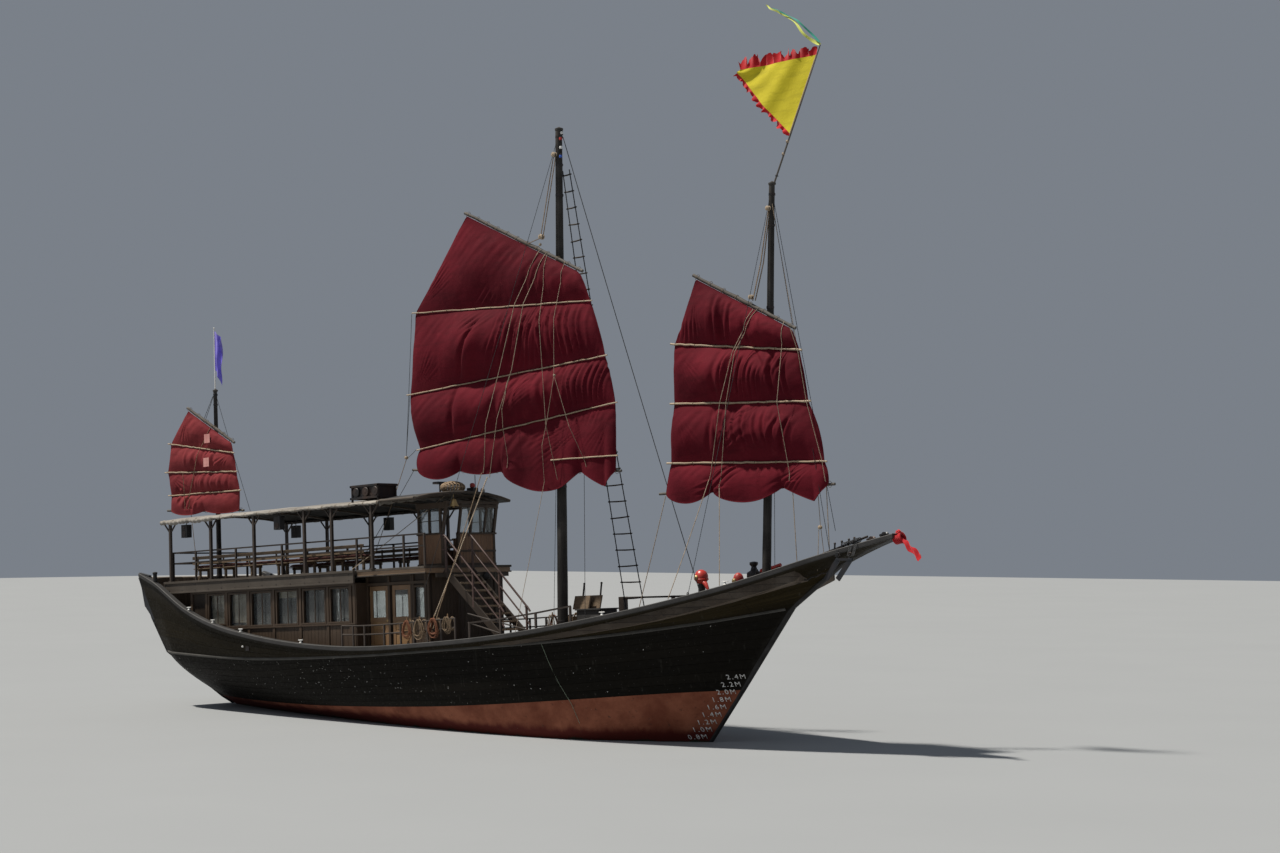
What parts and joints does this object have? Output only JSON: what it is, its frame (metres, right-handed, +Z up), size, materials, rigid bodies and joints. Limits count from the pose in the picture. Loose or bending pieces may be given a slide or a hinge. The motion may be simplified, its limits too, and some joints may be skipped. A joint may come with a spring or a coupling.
{
  "type": "three-masted junk ship",
  "caption": "Wooden junk afloat, with battened red sails on three masts, an aft deckhouse, an upper deck under an awning, a wheelhouse and a long raking bow.",
  "frame": {"origin": "on the centreline at the waterline, amidships", "axes": "+X towards the bow, +Y to port, +Z up; the ship floats 3 degrees by the stern"},
  "size_m": [29.7804, 6.3272, 21.8904],
  "materials": {
    "planks": "tarred planking, near black above the boot-top and red-brown below it",
    "cap": "weathered charcoal rail, lighter where it is worn",
    "dark_wood": "dark stained boards",
    "warm_wood": "varnished yellow-brown wood",
    "deck_wood": "worn deck planks",
    "glass": "clear panes",
    "sail": "deep red sailcloth, creased",
    "canvas": "cream canvas, stained at the hems",
    "cushion": "dull red cushions",
    "spar": "dark oiled spars and posts",
    "rope": "laid rope",
    "iron": "black painted ironwork",
    "bronze": "cast bronze",
    "yellow_flag": "yellow flag cloth with a red frill",
    "purple_flag": "purple flag cloth"
  },
  "bodies": {
    "ship": {"hull": "planks", "cap_rail_port": "cap", "cap_rail_starboard": "cap", "rudder_heel": "iron", "cabin_side_port": "dark_wood", "cabin_side_starboard": "dark_wood", "cabin_glass_port": "glass", "cabin_glass_starboard": "glass", "cabin_aft_wall": "dark_wood", "cabin_return_port": "dark_wood", "cabin_return_starboard": "dark_wood", "forward_side_port": "dark_wood", "forward_side_starboard": "dark_wood", "forward_front_wall": "dark_wood", "upper_deck_aft": "deck_wood", "upper_deck_forward": "deck_wood", "upper_rail_port": "spar", "upper_rail_starboard": "spar", "upper_rail_aft": "spar", "bench_port": "warm_wood", "bench_starboard": "warm_wood", "cushion_port": "cushion", "cushion_starboard": "cushion", "awning_frame_port": "spar", "awning_frame_starboard": "spar", "awning_beams": "spar", "awning_canvas": "canvas", "wheelhouse_front": "warm_wood", "wheelhouse_side_port": "warm_wood", "wheelhouse_side_starboard": "warm_wood", "wheelhouse_roof": "dark_wood", "stairs": "dark_wood", "main_mast": "spar", "fore_mast": "spar", "mizzen_mast": "spar", "mast_ladder": "rope", "main_stay": "rope", "fore_rail_port": "spar", "fore_rail_starboard": "spar", "windlass": "iron", "hatch_box": "warm_wood", "anchor": "iron", "pennant": "yellow_flag", "streamer": "yellow_flag", "small_flag": "purple_flag"},
    "rudder": {"rudder": "planks"},
    "propeller": {"propeller": "bronze"},
    "main_rig": {"main_sail": "sail", "main_yard": "spar", "main_boom": "spar"},
    "fore_rig": {"fore_sail": "sail", "fore_yard": "spar", "fore_boom": "spar"},
    "mizzen_rig": {"mizzen_sail": "sail", "mizzen_yard": "spar", "mizzen_boom": "spar"},
    "door_port_1": {"door_port_1": "warm_wood"},
    "door_port_2": {"door_port_2": "warm_wood"},
    "door_starboard_1": {"door_starboard_1": "warm_wood"},
    "door_starboard_2": {"door_starboard_2": "warm_wood"}
  },
  "joints": [
    {"name": "rudder_steer", "type": "hinge", "parent": "ship", "child": "rudder", "pos_m": [-11.7577, 0, -1.1169], "axis": [-0.0523, 0, 0.9986], "range_deg": [-35, 35]},
    {"name": "propeller_spin", "type": "hinge", "parent": "ship", "child": "propeller", "pos_m": [-11.1322, 0, -1.2043], "axis": [0.9986, 0, 0.0523], "continuous": true},
    {"name": "main_sail_swing", "type": "hinge", "parent": "ship", "child": "main_rig", "pos_m": [2.4819, 0, 2.5133], "axis": [-0.0128, 0, 0.9999], "range_deg": [-50, 50]},
    {"name": "fore_sail_swing", "type": "hinge", "parent": "ship", "child": "fore_rig", "pos_m": [9.8283, 0, 3.9197], "axis": [0.0229, 0, 0.9997], "range_deg": [-50, 50]},
    {"name": "mizzen_sail_swing", "type": "hinge", "parent": "ship", "child": "mizzen_rig", "pos_m": [-13.3488, 0, 3.8316], "axis": [-0.0523, 0, 0.9986], "range_deg": [-50, 50]},
    {"name": "door_port_1_swing", "type": "hinge", "parent": "ship", "child": "door_port_1", "pos_m": [-3.4856, 1.985, 2.0804], "axis": [-0.0523, 0, 0.9986], "range_deg": [0, 90]},
    {"name": "door_port_2_swing", "type": "hinge", "parent": "ship", "child": "door_port_2", "pos_m": [-1.7041, 0.985, 2.1738], "axis": [-0.0523, 0, 0.9986], "range_deg": [-90, 0]},
    {"name": "door_starboard_1_swing", "type": "hinge", "parent": "ship", "child": "door_starboard_1", "pos_m": [-3.4856, -1.985, 2.0804], "axis": [-0.0523, 0, 0.9986], "range_deg": [-90, 0]},
    {"name": "door_starboard_2_swing", "type": "hinge", "parent": "ship", "child": "door_starboard_2", "pos_m": [-1.7041, -1.985, 2.1738], "axis": [-0.0523, 0, 0.9986], "range_deg": [0, 90]}
  ]
}
